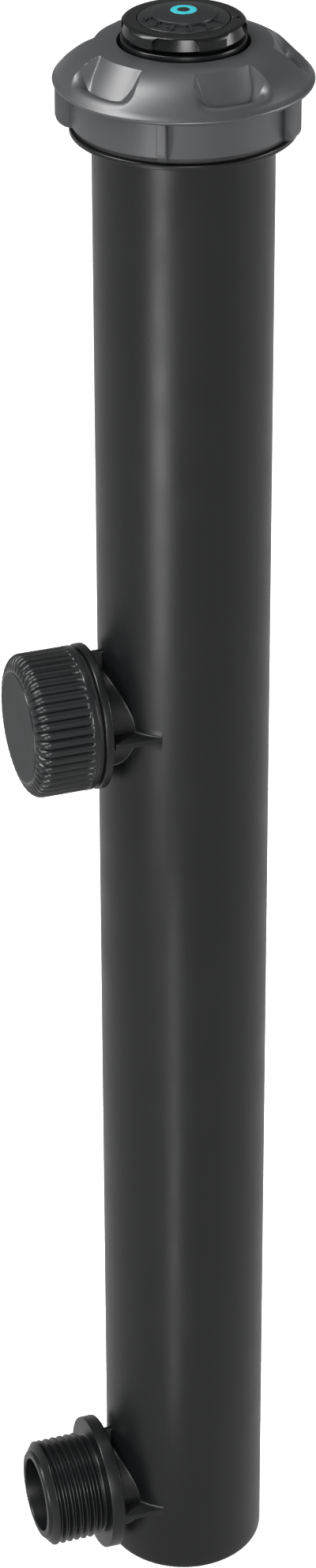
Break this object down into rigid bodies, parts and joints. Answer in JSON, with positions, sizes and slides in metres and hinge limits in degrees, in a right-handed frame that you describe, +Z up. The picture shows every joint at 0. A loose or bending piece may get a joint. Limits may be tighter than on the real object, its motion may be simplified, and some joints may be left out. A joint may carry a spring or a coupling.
{
  "type": "pop up sprinkler",
  "caption": "Tall pop-up garden sprinkler: round case with two male thread inlets, a knurled side cap, a gripped screw cap and a rising stem with an adjustable spray head.",
  "frame": {"origin": "centre of the flat base of the case, on the case's axis", "axes": "+Z up along the case towards the spray head; both inlets point along -Y"},
  "size_m": [0.0552, 0.0671, 0.4049],
  "materials": {
    "case_plastic": "satin, finely eroded",
    "cap_plastic": "satin, finely eroded",
    "head_plastic": "semi-gloss moulded",
    "dial_plastic": "satin",
    "side_cap_plastic": "satin moulded",
    "marker_plastic": "smooth",
    "seal_rubber": "matte",
    "stem_plastic": "smooth moulded",
    "acetal": "satin natural",
    "nylon_gauze": "fine mesh",
    "spring_steel": "drawn stainless wire"
  },
  "bodies": {
    "case": {"case_tube": "case_plastic", "cap_seal_ring": "seal_rubber", "return_spring": "spring_steel"},
    "cap_carrier": {"wiper_carrier": "stem_plastic", "wiper_seal": "seal_rubber", "spring_seat": "spring_steel"},
    "body_cap": {"body_cap": "cap_plastic"},
    "side_gasket": {"side_cap_gasket": "seal_rubber"},
    "side_cap": {"side_inlet_cap": "side_cap_plastic"},
    "riser_foot": {"ratchet_ring": "acetal"},
    "riser": {"riser_stem": "stem_plastic", "filter_basket": "acetal", "filter_mesh": "nylon_gauze", "nozzle_body": "head_plastic", "nozzle_o_ring": "seal_rubber", "spray_insert": "dial_plastic", "dial_plate": "dial_plastic", "centre_cap": "dial_plastic", "marker_ring": "marker_plastic", "head_screw": "spring_steel"},
    "range_ring": {"range_ring": "head_plastic", "hub_o_ring": "seal_rubber"},
    "throttle": {"throttle_plug": "acetal"}
  },
  "joints": [
    {"name": "riser_slide", "type": "slide", "parent": "case", "child": "riser_foot", "axis": [0, 0, 1], "range_m": [0, 0.3], "stiffness_N_per_m": 60, "springref_m": -0.25, "deforming": ["return_spring"]},
    {"name": "riser_ratchet", "type": "hinge", "parent": "riser_foot", "child": "riser", "pos_m": [0, 0, 0.0085], "axis": [0, 0, 1], "continuous": true},
    {"name": "range_turn", "type": "hinge", "parent": "riser", "child": "range_ring", "pos_m": [0, 0, 0.3999], "axis": [0, 0, 1], "range_deg": [-120, 120]},
    {"name": "throttle_slide", "type": "slide", "parent": "riser", "child": "throttle", "axis": [0, 0, 1], "range_m": [-0.001, 0.001]},
    {"name": "cap_rise", "type": "slide", "parent": "case", "child": "cap_carrier", "axis": [0, 0, 1], "range_m": [0, 0.00675]},
    {"name": "cap_turn", "type": "hinge", "parent": "cap_carrier", "child": "body_cap", "pos_m": [0, 0, 0.381], "axis": [0, 0, 1], "range_deg": [0, 810]},
    {"name": "side_cap_draw", "type": "slide", "parent": "case", "child": "side_gasket", "axis": [0, -1, 0], "range_m": [0, 0.0109]},
    {"name": "side_cap_turn", "type": "hinge", "parent": "side_gasket", "child": "side_cap", "pos_m": [0, -0.025, 0.2412], "axis": [0, -1, 0], "range_deg": [0, 2160]}
  ],
  "couplings": [
    {"joint": "throttle_slide", "follows": "range_turn", "m_per_rad": 0.00047746},
    {"joint": "cap_rise", "follows": "cap_turn", "m_per_rad": 0.00047746},
    {"joint": "side_cap_draw", "follows": "side_cap_turn", "m_per_rad": 0.00028871}
  ]
}
